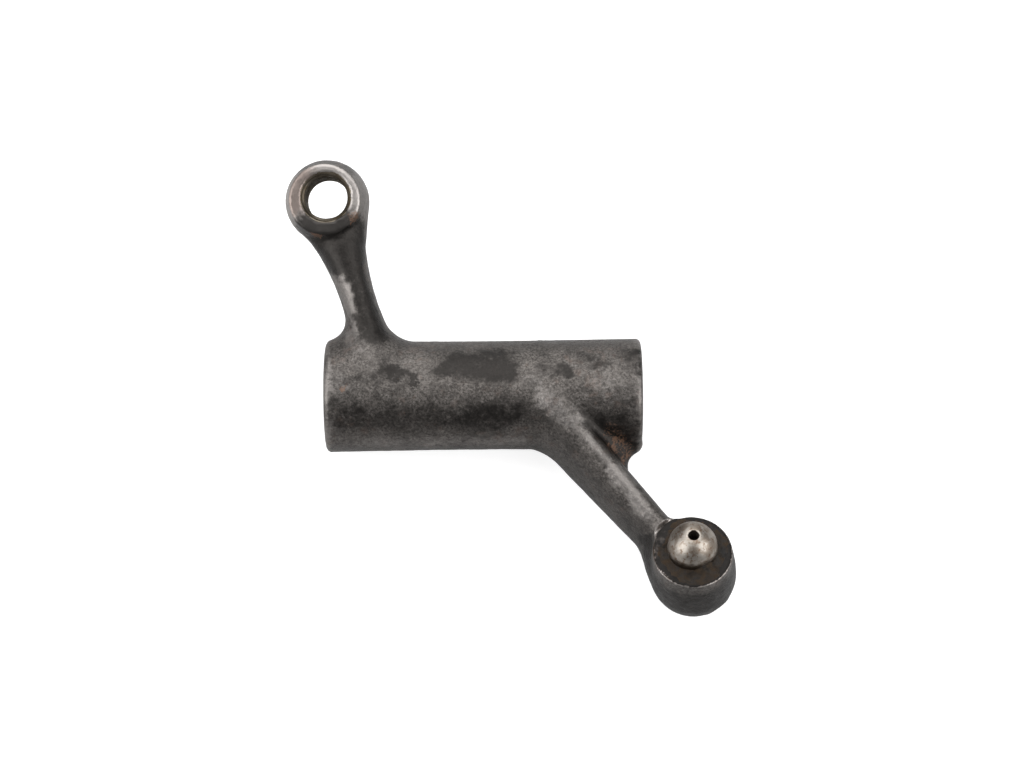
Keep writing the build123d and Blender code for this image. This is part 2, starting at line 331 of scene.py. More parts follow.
class Forging:
    """The one-piece forging, as a distance field."""

    def __init__(self, scene):
        groups = (scene.rocker_barrel, scene.rocker_eye, scene.rocker_boss, scene.rocker_oilway)
        self.barrel, self.eye, self.boss, self.oilway = map(millimetres, groups)
        self.worn_edge = scene.rocker_finish.worn_edge / MM
        thread, ball = MOUNTS["adjuster_thread"], MOUNTS["pushrod_ball"]
        self.bore_radius = MOUNTS["spindle_bore"]["dims"]["r_mm"]
        self.minor_radius = thread["dims"]["r_mm"]
        self.ball_radius = ball["dims"]["r_mm"]
        self.eye_axes = Axes(np.array(thread["pos_m"]) / MM, thread["axis"])
        self.ball_axes = Axes(np.array(ball["pos_m"]) / MM, ball["axis"])
        self.blank_axes = self.eye_axes.moved((0, -self.eye["setback"], 0), EYE_LEAN)
        self.seat_axes = self.ball_axes.moved((0, 0, -self.boss["head_land"]))
        leaning = self.seat_axes.moved((0, 0, 0), BOSS_LEAN)
        self.dome_axes = leaning.moved((0, 0, -self.boss["side_height"]))
        self.set_oilway()

    def set_oilway(self):
        """The oilway runs straight from the spindle axis to the outside of the dome, under the pin."""
        start = np.array((self.barrel["length"] / 2 - self.oilway["inset"], 0.0, 0.0))
        below = self.boss["shank_length"] + self.oilway["gap"] + self.oilway["diameter"] / 2
        under_pin = self.seat_axes.origin - below * self.seat_axes.z
        self.oilway_axes = Axes(start, under_pin - start)
        dome = self.oilway_axes.local(self.dome_axes.origin)
        to_skin = np.sqrt((self.boss["diameter"] / 2) ** 2 - dome[0] ** 2 - dome[1] ** 2)
        self.plug_top = dome[2] + to_skin - self.oilway["plug_sink"]

    def plug_mouth(self):
        return self.oilway_axes.world(np.array((0, 0, self.plug_top)))

    def barrel_blank(self, p):
        half_length = self.barrel["length"] / 2
        radius = self.barrel["radius"] - self.barrel["waist"] * (1 - (p[:, 0] / half_length) ** 2)
        side = np.hypot(p[:, 1], p[:, 2]) - radius
        return round_overlap(side, np.abs(p[:, 0]) - half_length, self.barrel["end_round"])

    def arm(self, p, root, tip, crown, sections, stop):
        """Distance to an arm, with how far each point is across it and up from its middle.

        A section is its distance from the root, its width and its depth.
        """
        reach = np.linalg.norm(tip - root)
        along = (tip - root) / reach
        side = np.cross(along, crown)
        side /= np.linalg.norm(side)
        offset = p - root
        place, across, up = offset @ along, offset @ side, offset @ np.cross(side, along)
        stations, widths, depths = zip(*sections)
        heel = ramp(place, HEEL_START, HEEL_END)
        half_depth = through(stations, depths, place) / 2 - HEEL_SINK * heel
        half_width = through(stations, widths, place) / 2 * (1 - HEEL_NARROWING * heel)
        section = forged_section(across, up, half_width, half_depth)
        from_heel = np.maximum(section, 2 * (HEEL_STOP - place))
        return round_overlap(from_heel, place - reach + stop, ARM_END_ROUND), across, up

    def eye_arm(self, p):
        sizes, radius = self.eye, self.barrel["radius"]
        root = np.array((sizes["arm_inset"] - self.barrel["length"] / 2, 0, 0))
        tip = self.blank_axes.origin
        reach = np.linalg.norm(tip - root)
        sections = (
            (radius / 2, sizes["arm_root_width"], 2 * (radius - sizes["arm_root_step"])),
            (WAIST_PLACE * reach, sizes["arm_waist_width"], sizes["arm_depth"]),
            (reach - sizes["diameter"] / 6, sizes["arm_tip_width"], sizes["arm_depth"]),
        )
        return self.arm(p, root, tip, self.eye_axes.z, sections, sizes["arm_stop"])

    def ball_arm(self, p):
        sizes, radius, crown = self.boss, self.barrel["radius"], self.ball_axes.z
        root = np.array((self.barrel["length"] / 2 - sizes["arm_inset"], 0, 0))
        root = root + crown * sizes["arm_root_rise"]
        tip = self.seat_axes.origin - crown * (sizes["arm_crown_drop"] + sizes["arm_tip_depth"] / 2)
        reach = np.linalg.norm(tip - root)
        sections = (
            (radius / 3, sizes["arm_root_width"], 2 * (radius - sizes["arm_root_step"])),
            (reach - sizes["diameter"] / 4, sizes["arm_tip_width"], sizes["arm_tip_depth"]),
        )
        return self.arm(p, root, tip, crown, sections, sizes["arm_stop"])

    def eye_blank(self, p):
        q, half_height = self.blank_axes.local(p), self.eye["thickness"] / 2
        side = bulged_radius(self.eye["diameter"] / 2, self.eye["draw"], half_height, q[:, 2])
        return np.maximum(np.hypot(q[:, 0], q[:, 1]) - side, np.abs(q[:, 2]) - half_height - BLANK_OVERRUN)

    def boss_blank(self, p):
        q, radius, side_height = self.dome_axes.local(p), self.boss["diameter"] / 2, self.boss["side_height"]
        around = np.hypot(q[:, 0], q[:, 1])
        side = around - bulged_radius(radius, self.boss["draw"], side_height, q[:, 2])
        above = np.maximum(side, q[:, 2] - side_height - BLANK_OVERRUN)
        return np.where(q[:, 2] > 0, above, np.hypot(around, q[:, 2]) - radius)

    def ball_root_blend(self, p, corner, up):
        """The ball arm's blend into the barrel: full in the corner, tight at the crown, thin below."""
        flank = self.boss["root_blend"] * (0.45 + 1.4 * corner)
        crown = ramp(up, 1.0, 6.0)
        below = ramp(p[:, 1], -6.5, -2.5) * ramp(p[:, 2], -2.0, -5.5)
        return (flank * (1 - crown) + self.boss["crown_blend"] * crown) * (1 - 0.93 * below)

    def eye_blend(self, p, corner):
        """The eye's blend into its arm: tighter on the corner's side and towards both faces."""
        height = np.abs(self.eye_axes.local(p)[:, 2])
        return self.eye["blend"] * (1.0 - 0.3 * corner) * (1.0 - 0.6 * ramp(height, 2.0, 5.2))

    def boss_blend(self, p):
        """The boss's blend into its arm: tighter towards the spot face."""
        height = self.seat_axes.local(p)[:, 2]
        return self.boss["blend"] * (1.35 - 0.85 * ramp(height, -6.0, -1.0))

    def blank(self, p):
        """The forging before any cut."""
        eye_arm, across, _ = self.eye_arm(p)
        eye_corner = corner_side(across)
        eye_root_blend = self.eye["root_blend"] * (0.9 + 0.5 * eye_corner)
        joined = round_union(self.barrel_blank(p), eye_arm, eye_root_blend)
        ball_arm, across, up = self.ball_arm(p)
        joined = round_union(joined, ball_arm, self.ball_root_blend(p, corner_side(across), up))
        joined = round_union(joined, self.eye_blank(p), self.eye_blend(p, eye_corner))
        return round_union(joined, self.boss_blank(p), self.boss_blend(p))

    def cuts(self, p):
        """For each cutter, the distance to what it took away and the radius worn on its edge."""
        worn, half_length = self.worn_edge, self.barrel["length"] / 2
        bore = np.hypot(p[:, 1], p[:, 2]) - self.bore_radius
        mouth = bore - self.barrel["bore_chamfer"] + half_length - np.abs(p[:, 0])

        eye = self.eye_axes.local(p)
        eye_around = np.hypot(eye[:, 0], eye[:, 1])
        facing = self.eye["diameter"] / 2 + self.eye["setback"] + self.eye["blend"]
        faces = np.maximum(eye_around - facing, self.eye["thickness"] / 2 - np.abs(eye[:, 2]))
        thread = eye_around - self.eye["thread_diameter"] / 2 - THREAD_CLEARANCE

        seat = self.seat_axes.local(p)
        seat_around = np.hypot(seat[:, 0], seat[:, 1])
        spot_radius = self.boss["diameter"] / 2 - self.boss["draw"] + SPOT_FACE_OVERRUN
        spot_face = np.maximum(seat_around - spot_radius, -seat[:, 2])
        depth = self.boss["shank_length"] + self.oilway["gap"] + self.oilway["diameter"]
        pin_hole = np.maximum(seat_around - self.boss["shank_diameter"] / 2, -depth - seat[:, 2])

        oil = self.oilway_axes.local(p)
        oil_around = np.hypot(oil[:, 0], oil[:, 1])
        ends = np.maximum(-oil[:, 2], oil[:, 2] - self.plug_top)
        oilway = np.maximum(oil_around - self.oilway["diameter"] / 2, ends)
        plug_foot = self.plug_top - self.oilway["plug_length"]
        plug_seat = np.maximum(oil_around - self.oilway["plug_diameter"] / 2, plug_foot - oil[:, 2])
        return {
            "bore": (np.minimum(bore, mouth * np.sqrt(0.5)), worn / 2),
            "faces": (faces, worn),
            "thread": (thread, worn),
            "spot_face": (spot_face, worn),
            "pin_hole": (pin_hole, worn / 2),
            "oilway": (oilway, worn / 2),
            "plug_seat": (plug_seat, worn),
        }

    def distance(self, p):
        body = self.blank(p)
        for tool, worn in self.cuts(p).values():
            body = round_overlap(body, -tool, worn)
        return body

    def slope(self, p, step=0.02):
        """Gradient of the distance, by central differences."""
        shifts = step * np.eye(3)
        return np.stack([self.distance(p + s) - self.distance(p - s) for s in shifts], axis=1) / (2 * step)

    def cut_share(self, p, none, full):
        """1 where a cutter left the surface, falling to 0 over the distances given."""
        tools = [distance for distance, _ in self.cuts(p).values()]
        return ramp(np.min(np.abs(tools), axis=0), none, full)


# ---------------------------------------------------------------- Mesh tools


def fractal(points, size, octaves, seed):
    """Fractal noise at each point, about -1 to 1, with lumps of that size in millimetres."""
    shift = Vector((17.3, 5.1, 9.7)) * seed
    return np.array([noise.fractal(Vector(p) / size + shift, 1.0, 2.0, octaves) for p in points.tolist()])


def spot(points, centre, radius, softness):
    """1 inside a ball and 0 outside it."""
    return ramp(np.linalg.norm(points - np.array(centre), axis=1), radius, radius * softness)


def streak(points, start, end, radius, softness):
    """1 along a straight line and 0 beyond that radius from it."""
    start, along = np.array(start), np.array(end) - np.array(start)
    place = np.clip((points - start) @ along / (along @ along), 0, 1)
    nearest = start + place[:, None] * along
    return ramp(np.linalg.norm(points - nearest, axis=1), radius, radius * softness)


def vertices_of(mesh):
    points = np.empty(len(mesh.vertices) * 3)
    mesh.vertices.foreach_get("co", points)
    return points.reshape(-1, 3)


def keep_mask(mesh, name, values):
    attribute = mesh.attributes.new(name, "FLOAT", "POINT")
    attribute.data.foreach_set("value", np.clip(values, 0, 1).astype(np.float32))


def mesh_object(name, points, faces, material):
    """A smooth mesh from points in millimetres, riding on the one body."""
    mesh = bpy.data.meshes.new(name)
    mesh.from_pydata((np.asarray(points) * MM).tolist(), [], faces)
    mesh.materials.append(material)
    mesh.polygons.foreach_set("use_smooth", [True] * len(mesh.polygons))
    piece = bpy.data.objects.new(name, mesh)
    bpy.context.scene.collection.objects.link(piece)
    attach(piece, "root")
    return piece


def apply_modifier(piece, kind, **settings):
    modifier = piece.modifiers.new(kind.title(), kind)
    for name, value in settings.items():
        setattr(modifier, name, value)
    bpy.context.view_layer.objects.active = piece
    bpy.ops.object.modifier_apply(modifier=modifier.name)


def turned_mesh(axes, profile, segments):
    """Points and faces of a closed turned shape.

    The profile's rings are (radius, height), and either may be an array round the turn. A profile that
    starts on the axis ends on it too, and any other closes on itself.
    """
    angles = np.linspace(0, 2 * pi, segments, endpoint=False)
    solid = np.ndim(profile[0][0]) == 0 and profile[0][0] == 0
    rings = profile[1:-1] if solid else profile
    points = [np.stack((r * np.cos(angles), r * np.sin(angles), h + 0 * angles), axis=1) for r, h in rings]
    if solid:
        points.append([(0, 0, profile[0][1]), (0, 0, profile[-1][1])])
    bottom, top = len(rings) * segments, len(rings) * segments + 1
    steps = range(len(rings) - 1) if solid else range(len(rings))
    faces = []
    for i in range(segments):
        j = (i + 1) % segments
        for ring in steps:
            k, n = ring * segments, (ring + 1) % len(rings) * segments
            faces.append((k + i, k + j, n + j, n + i))
        if solid:
            faces.append((bottom, j, i))
            faces.append((top, bottom - segments + i, bottom - segments + j))
    return axes.world(np.concatenate(points)), faces


def bend(centre, radius, start, end, count):
    """Points on an arc of a profile, from one angle to another, in degrees."""
    turn = [radians(degrees) for degrees in np.linspace(start, end, count)]
    return [(centre[0] + radius * np.cos(a), centre[1] + radius * np.sin(a)) for a in turn]


# ---------------------------------------------------------------- Node tools


class Nodes:
    """Adds nodes to a tree. An input given as a socket is linked, and any other value is set."""

    def __init__(self, tree):
        self.tree = tree
        self.count = 0

    def add(self, kind, settings=None, **inputs):
        node = self.tree.nodes.new(kind)
        node.location = (220 * (self.count % 8), -260 * (self.count // 8))
        self.count += 1
        for name, value in (settings or {}).items():
            setattr(node, name, value)
        self.set(node, **inputs)
        return node

    def set(self, node, **inputs):
        """Inputs by name, with _ for a space, or by number as i0, i1 and so on."""
        for name, value in inputs.items():
            key = int(name[1:]) if name[0] == "i" and name[1:].isdigit() else name.replace("_", " ")
            socket = node.inputs[key]
            if isinstance(value, bpy.types.NodeSocket):
                self.tree.links.new(value, socket)
            else:
                socket.default_value = value

    def math(self, operation, a, b=0.0):
        return self.add("ShaderNodeMath", {"operation": operation}, i0=a, i1=b).outputs[0]

    def times(self, a, b):
        return self.math("MULTIPLY", a, b)

    def plus(self, a, b):
        return self.math("ADD", a, b)

    def vector(self, operation, a, b=(0, 0, 0)):
        """A vector calculation. Its outputs are Vector and Value."""
        return self.add("ShaderNodeVectorMath", {"operation": operation}, i0=a, i1=b).outputs

    def mix(self, factor, a, b):
        """Colour a where the factor is 0, and colour b where it is 1."""
        return self.add("ShaderNodeMix", {"data_type": "RGBA"}, i0=factor, i6=a, i7=b).outputs[2]

    def between(self, value, low, high, at_low=0.0, at_high=1.0):
        """A smooth step from at_low, where the value is low, to at_high."""
        settings = {"interpolation_type": "SMOOTHSTEP"}
        node = self.add("ShaderNodeMapRange", settings, i0=value, i1=low, i2=high, i3=at_low, i4=at_high)
        return node.outputs[0]

    def noise(self, place, scale, detail, roughness=0.55, distortion=0.0):
        inputs = {"Vector": place, "Scale": scale, "Detail": detail}
        return self.add("ShaderNodeTexNoise", **inputs, Roughness=roughness, Distortion=distortion).outputs[0]


class Effect(Nodes):
    """A shader node group. Its inputs are floats with defaults, or vectors where the default is None."""

    def __init__(self, name, inputs, outputs):
        self.group = bpy.data.node_groups.new(name, "ShaderNodeTree")
        for label, default in inputs.items():
            kind = "NodeSocketVector" if default is None else "NodeSocketFloat"
            socket = self.group.interface.new_socket(name=label, in_out="INPUT", socket_type=kind)
            if default is not None:
                socket.default_value = default
        for label in outputs:
            self.group.interface.new_socket(name=label, in_out="OUTPUT", socket_type="NodeSocketFloat")
        super().__init__(self.group)
        self.given = self.add("NodeGroupInput").outputs
        self.out = self.add("NodeGroupOutput")


class Material(Nodes):
    """A material, the effects placed in it, and what its shader is given."""

    def __init__(self, name, slot_colour):
        self.made = bpy.data.materials.new(name)
        self.made.use_nodes = True
        self.made.diffuse_color = opaque(slot_colour)
        super().__init__(self.made.node_tree)
        self.shader = self.tree.nodes["Principled BSDF"]
        self.place = self.add("ShaderNodeTexCoord").outputs["Object"]

    def effect(self, name, **inputs):
        """An effect's outputs by name. The effect's group is built the first time."""
        group = bpy.data.node_groups.get(name) or EFFECTS[name]()
        return self.add("ShaderNodeGroup", {"node_tree": group}, Place=self.place, **inputs).outputs

    def grain(self, fine, mottle):
        """Forged grain, from the sizes of its fine lumps and of its mottle in millimetres."""
        return self.effect("Forged grain", Grain=fine * MM, Mottle=mottle * MM)

    def patches(self, amount, size, raggedness):
        """Ragged patches of an amount, with ragged edges of a size in millimetres."""
        return self.effect("Ragged patches", Amount=amount, Size=size * MM, Raggedness=raggedness)

    def mask(self, name):
        """A mask painted on the mesh."""
        return self.add("ShaderNodeAttribute", {"attribute_name": name}).outputs["Fac"]

    def bump(self, height, strength, depth):
        """The shader's normal, from a height that stands for a depth in millimetres."""
        bump = self.add("ShaderNodeBump", Height=height, Strength=strength, Distance=depth * MM)
        self.shade(Normal=bump.outputs[0])

    def shade(self, **inputs):
        self.set(self.shader, **inputs)


def opaque(rgb):
    return (*rgb, 1.0)


def scaled(rgb, factor):
    return [factor * channel for channel in rgb]


# ---------------------------------------------------------------- Effects


def grain_effect():
    """Scaled and shot-blasted grain: a broad mottle, a fine speckle and a height."""
    inputs = {"Place": None, "Grain": 0.00036, "Mottle": 0.0022}
    effect = Effect("Forged grain", inputs, ("Mottle", "Speckle", "Pepper", "Height"))
    place = effect.given["Place"]
    grain_scale = effect.math("DIVIDE", 1.0, effect.given["Grain"])
    mottle_scale = effect.math("DIVIDE", 1.0, effect.given["Mottle"])
    fine = effect.noise(place, grain_scale, detail=4.0, roughness=0.75)
    medium = effect.noise(place, effect.times(grain_scale, 0.37), detail=3.0)
    broad = effect.noise(place, mottle_scale, detail=4.0, roughness=0.6, distortion=0.4)
    effect.set(
        effect.out,
        Mottle=effect.between(broad, 0.3, 0.7),
        Speckle=effect.between(effect.plus(fine, effect.times(medium, 0.6)), 0.84, 1.06),
        Pepper=effect.between(fine, 0.34, 0.60),
        Height=effect.plus(effect.times(fine, 0.6), effect.times(medium, 0.8)),
    )
    return effect.group


def patch_effect():
    """A mask with a ragged edge, where an amount stands above noise, and a softer one."""
    inputs = {"Place": None, "Amount": 0.0, "Raggedness": 0.6, "Size": 0.0008}
    effect = Effect("Ragged patches", inputs, ("Mask", "Soft"))
    scale = effect.math("DIVIDE", 1.0, effect.given["Size"])
    wander = effect.noise(effect.given["Place"], scale, detail=5.0, roughness=0.65)
    shift = effect.times(effect.math("SUBTRACT", wander, 0.5), effect.times(effect.given["Raggedness"], 2.4))
    level = effect.plus(effect.given["Amount"], shift)
    effect.set(effect.out, Mask=effect.between(level, 0.42, 0.62), Soft=effect.between(level, 0.1, 0.95))
    return effect.group


def mark_effect():
    """1 near a centre, falling to 0 at a radius from it."""
    effect = Effect("Round mark", {"Place": None, "Centre": None, "Radius": 0.005}, ("Mask",))
    away = effect.vector("DISTANCE", effect.given["Place"], effect.given["Centre"])["Value"]
    outward = effect.math("DIVIDE", away, effect.given["Radius"])
    effect.set(effect.out, Mask=effect.between(outward, 0.3, 1.0, 1.0, 0.0))
    return effect.group


def face_effect():
    """1 on the flat faces of a disc, given its centre, its axis, half its thickness and its radius."""
    inputs = {"Place": None, "Centre": None, "Axis": None, "Reach": 0.004, "Radius": 0.01}
    effect = Effect("Turned face", inputs, ("Mask",))
    offset = effect.vector("SUBTRACT", effect.given["Place"], effect.given["Centre"])["Vector"]
    height = effect.math("ABSOLUTE", effect.vector("DOT_PRODUCT", offset, effect.given["Axis"])["Value"])
    off_face = effect.math("ABSOLUTE", effect.math("SUBTRACT", height, effect.given["Reach"]))
    flat = effect.between(off_face, 0.00010, 0.00024, 1.0, 0.0)
    outward = effect.math("DIVIDE", effect.vector("LENGTH", offset)["Value"], effect.given["Radius"])
    near = effect.between(outward, 1.0, 1.03, 1.0, 0.0)
    effect.set(effect.out, Mask=effect.times(flat, near))
    return effect.group


EFFECTS = {
    "Forged grain": grain_effect,
    "Ragged patches": patch_effect,
    "Round mark": mark_effect,
    "Turned face": face_effect,
}


# ---------------------------------------------------------------- Materials

# Marks on the eye's turned face: the centre in the eye's own frame and the radius, in millimetres.
# Painted shade over the lower part of the face.
EYE_SHADE = (0.3, -6.8, 5.0), 8.5
EYE_VARNISH = (-6.4, 1.6, 5.0), 7.5
EYE_RUST = (4.8, -3.4, 5.0), 2.2


def world_place(axes, point):
    """A point of a frame in millimetres, as the metres that a material sees."""
    return tuple(float(c) * MM for c in axes.world(np.array(point)))


def eye_mark(material, forging, mark):
    centre, radius = mark
    place = world_place(forging.eye_axes, centre)
    return material.effect("Round mark", Centre=place, Radius=radius * MM)["Mask"]


def eye_face(material, forging):
    """1 on the turned faces of the eye, sharp at their rims."""
    half_thickness = forging.eye["thickness"] / 2
    return material.effect(
        "Turned face",
        Centre=world_place(forging.eye_axes, (0, 0, 0)),
        Axis=tuple(float(c) for c in forging.eye_axes.z),
        Reach=half_thickness * MM,
        Radius=np.hypot(forging.eye["diameter"] / 2, half_thickness) * MM,
    )["Mask"]


def forging_material(finish, forging):
    """Oil-blackened forging, rubbed to satin on its high spots, with dark stains, dirt and light rust, and
    painted highlights and painted shade.
    """
    material = Material("Worn forging and painted light", finish.scale_grey)
    times, plus, between = material.times, material.plus, material.between
    grain = material.grain(fine=0.36, mottle=2.2)
    face = eye_face(material, forging)
    off_face = material.math("SUBTRACT", 1.0, face)
    eye_shade_mark, varnish_mark, rust_mark = [
        eye_mark(material, forging, mark) for mark in (EYE_SHADE, EYE_VARNISH, EYE_RUST)
    ]

    def painted(name, added):
        """A mask painted on the mesh, kept off the eye's faces, with what is added there by the pixel."""
        return plus(times(material.mask(name), off_face), added)

    machined = material.math("MAXIMUM", material.mask("machined"), face)
    # Rubbed wear, with the painted highlights laid in the same mask.
    bright = material.patches(painted("bright", times(face, 0.35)), size=0.8, raggedness=0.55)
    # The dark mask, with painted shade added on the lower part of the eye's face.
    dark = material.patches(painted("dark", times(eye_shade_mark, 1.5)), size=1.1, raggedness=0.7)
    baked_on = times(times(varnish_mark, face), 1.2)
    varnish = material.patches(painted("varnish", baked_on), size=1.2, raggedness=0.4)
    rust = material.patches(painted("rust", times(rust_mark, 0.55)), size=0.32, raggedness=0.7)
    pits = material.patches(material.mask("pitted"), size=0.5, raggedness=0.8)
    dirt = material.patches(material.mask("dirt"), size=1.2, raggedness=0.45)

    bare = opaque(finish.bare_grey)
    dull_skin, light_skin = opaque(scaled(finish.scale_grey, 0.5)), opaque(scaled(finish.scale_grey, 1.6))
    # The colour of stains and of painted shade, and of pits.
    stain_and_shade_grey = scaled(finish.scale_grey, 0.25)
    peppered = times(grain["Pepper"], between(grain["Mottle"], 0, 1, 0.45, 1))
    skin = material.mix(peppered, dull_skin, light_skin)
    satin = material.mix(times(bright["Soft"], 0.55), skin, bare)
    layered = material.mix(times(grain["Speckle"], between(bright["Soft"], 0, 1, 0.26, 0.75)), satin, bare)
    for mask, strength, rgb in (
        (machined, 0.8, finish.machined_grey),
        (varnish["Soft"], 0.6, finish.varnish_brown),
        (dark["Soft"], 0.92, stain_and_shade_grey),
        (pits["Mask"], 0.8, stain_and_shade_grey),
        (rust["Mask"], 0.55, finish.rust_brown),
        (dirt["Mask"], 0.97, finish.oil_black),
    ):
        layered = material.mix(times(mask, strength), layered, opaque(rgb))

    dull = material.math("MAXIMUM", rust["Mask"], times(dirt["Mask"], 0.35))
    roughness = between(plus(grain["Mottle"], grain["Speckle"]), 0, 1.6, 0.34, 0.5)
    material.shade(
        Base_Color=layered,
        Roughness=plus(roughness, times(dull, 0.3)),
        Metallic=between(dull, 0, 1, 0.88, 0.15),
    )
    material.bump(times(grain["Height"], between(machined, 0, 1, 1.0, 0.25)), strength=0.7, depth=0.16)
    return material.made


def pin_material(finish):
    """Polished hardened steel with a brown varnish in patches and fine wear."""
    material = Material("Polished pin", finish.steel)
    grain = material.grain(fine=0.35, mottle=1.8)
    varnish = material.times(material.between(grain["Mottle"], 0.2, 0.8), 0.7)
    clean = material.mix(varnish, opaque(finish.steel), opaque(finish.tint))
    specks = material.patches(0.38, size=0.7, raggedness=0.75)
    speckled = material.mix(material.times(specks["Mask"], 0.7), clean, opaque(finish.specks))
    foot = material.patches(material.mask("dirt"), size=0.9, raggedness=0.4)
    haze = material.times(grain["Speckle"], 0.16)
    polish = material.between(foot["Soft"], 0, 1, finish.roughness, 0.55)
    material.shade(
        Base_Color=material.mix(foot["Soft"], speckled, opaque(finish.foot)),
        Roughness=material.plus(haze, polish),
        Metallic=1.0,
    )
    material.bump(grain["Height"], strength=0.12, depth=0.05)
    return material.made


def thread_material(slot_colour, finish):
    """Cut thread: bright crests with brown varnish, and near-black painted shade with oil down in the roots.
    """
    material = Material("Cut thread", slot_colour)
    grain = material.grain(fine=0.3, mottle=1.6)
    crest = material.mix(grain["Mottle"], opaque(finish.crest), opaque(finish.tint))
    material.shade(
        Base_Color=material.mix(material.times(material.mask("depth"), 0.85), crest, opaque(finish.root)),
        Roughness=material.between(grain["Mottle"], 0, 1, 0.28, 0.42),
        Metallic=0.9,
    )
    material.bump(grain["Height"], strength=0.25, depth=0.08)
    return material.made


def plug_material(finish, oil_black):
    """Small dark steel plug, punched over at its rim."""
    material = Material("Driven plug", (0.16, 0.15, 0.14))
    grain = material.grain(fine=0.3, mottle=1.2)
    steel = material.mix(grain["Mottle"], opaque(finish.dark_steel), opaque(finish.light_steel))
    dirt = material.patches(material.mask("dirt"), size=0.6, raggedness=0.6)
    material.shade(
        Base_Color=material.mix(dirt["Mask"], steel, opaque(oil_black)),
        Roughness=material.between(grain["Speckle"], 0, 1, 0.38, 0.55),
        Metallic=0.85,
    )
    material.bump(grain["Height"], strength=0.4, depth=0.1)
    return material.made


def sludge_material(finish):
    """Burnt oil and dirt, near black with brown lumps and a wet sheen."""
    material = Material("Oil sludge", finish.oil_black)
    grain = material.grain(fine=0.4, mottle=1.6)
    brown = material.mix(grain["Mottle"], opaque(finish.oil_black), opaque(finish.sludge_brown))
    grit = material.times(grain["Speckle"], 0.25)
    material.shade(
        Base_Color=material.mix(grit, brown, opaque(finish.sludge_grit)),
        Roughness=material.between(grain["Mottle"], 0, 1, 0.5, 0.85),
        Specular_IOR_Level=0.25,
    )
    material.bump(grain["Height"], strength=0.8, depth=0.15)
    return material.made


# ---------------------------------------------------------------- Wear and painted light and shade of the forging
#
# The marks are laid in millimetres, and noise makes each one ragged. A spot lies round a point
# and a streak along a line. A round mark lies on the barrel, at x along it and so many degrees from
# straight up, towards +Y. Each is full out to its softness times its radius, and gone at its radius.

Spot = namedtuple("Spot", "strength centre radius softness")
Streak = namedtuple("Streak", "strength start end radius softness")
RoundMark = namedtuple("RoundMark", "strength x degrees radius softness")

BRIGHT_ROUNDS = (
    RoundMark(0.15, -17.0, 4, 6.5, 0.1),
    RoundMark(0.48, -24.5, -5, 5.0, 0.1),
    RoundMark(0.20, -11.5, 5, 4.5, 0.1),
    RoundMark(0.25, 21.5, -2, 5.5, 0.1),
    RoundMark(0.40, 8.0, -4, 3.6, 0.1),
    RoundMark(0.30, -24.5, -55, 4.0, 0.1),
)
BRIGHT_STREAKS = (
    # A painted highlight band along the barrel's -Y flank.
    Streak(0.45, (-20.0, -8.8, 2.6), (6.0, -8.8, 2.6), 2.6, 0.1),
    # Rubbed wear and a painted highlight down the crown of the eye's arm, from the eye to the barrel.
    Streak(0.45, (-24.7, 22.4, 11.0), (-23.8, 19.7, 10.2), 1.6, 0.0),
    Streak(1.15, (-25.0, 19.4, 9.1), (-22.9, 13.9, 8.4), 3.6, 0.0),
    Streak(0.80, (-22.9, 13.9, 8.4), (-21.2, 8.8, 7.9), 2.3, 0.0),
    Streak(0.30, (-21.2, 8.8, 7.9), (-19.4, 6.0, 8.2), 2.4, 0.0),
    # Rubbed wear and a painted highlight along the crown of the ball's arm, from the barrel to the boss.
    Streak(0.40, (9.7, -3.4, 8.7), (14.7, -7.2, 7.6), 3.2, 0.1),
    Streak(0.35, (15.5, -6.2, 7.6), (20.5, -14.0, 6.4), 1.8, 0.1),
    Streak(0.75, (21.0, -14.8, 6.3), (25.4, -21.6, 5.2), 2.3, 0.1),
)
DARK_ROUNDS = (
    # The large stain at mid-length.
    RoundMark(0.85, 1.8, 20, 5.3, 0.4),
    RoundMark(0.60, -3.2, 17, 4.0, 0.3),
    RoundMark(0.50, -6.6, 11, 2.2, 0.2),
    RoundMark(0.55, 4.6, 2, 1.9, 0.2),
    # Single blotches.
    RoundMark(0.50, -12.8, 7, 1.2, 0.2),
    RoundMark(0.70, -20.4, -29, 1.3, 0.3),
    RoundMark(0.50, 19.0, 22, 2.4, 0.4),
    RoundMark(0.60, 13.5, 10, 2.0, 0.6),
    RoundMark(0.50, 23.0, 30, 2.6, 0.3),
    RoundMark(0.50, 16.5, 28, 2.2, 0.3),
    RoundMark(0.40, -6.0, 30, 3.2, 0.2),
    RoundMark(0.40, -22.0, -45, 3.0, 0.3),
    # A wide painted shade on the barrel's -Y flank.
    RoundMark(0.40, 0.0, -50, 9.0, 0.2),
)
DARK_STREAKS = (
    # Along the barrel: darker at its crown, and a painted shade band on its -Y flank.
    Streak(0.30, (-24.0, 1.3, 8.9), (24.0, 1.3, 8.9), 3.0, 0.1),
    Streak(0.35, (-19.0, -5.6, 7.0), (7.6, -5.6, 7.0), 2.6, 0.3),
    # Painted shade on the side of the eye's arm that faces mid-length.
    Streak(0.90, (-21.2, 24.0, 11.5), (-18.2, 9.0, 8.3), 4.2, 0.2),
    # Painted shade in the valley where the ball's arm leaves the barrel, and on the arm's -X side.
    Streak(0.70, (20.5, -7.0, 5.8), (23.4, -10.5, 1.5), 4.0, 0.4),
    Streak(0.30, (14.0, -11.0, 4.0), (24.0, -25.0, 2.0), 3.5, 0.4),
)
PITTED_ROUNDS = (
    RoundMark(0.75, -15.0, 6, 2.6, 0.4),
    RoundMark(0.70, -11.4, 0, 2.2, 0.4),
    RoundMark(0.35, -24.0, 0, 4.0, 0.1),
    RoundMark(0.30, 8.0, -4, 3.6, 0.1),
)
RUST_ROUNDS = (RoundMark(0.45, -23.0, -11, 1.6, 0.1),)
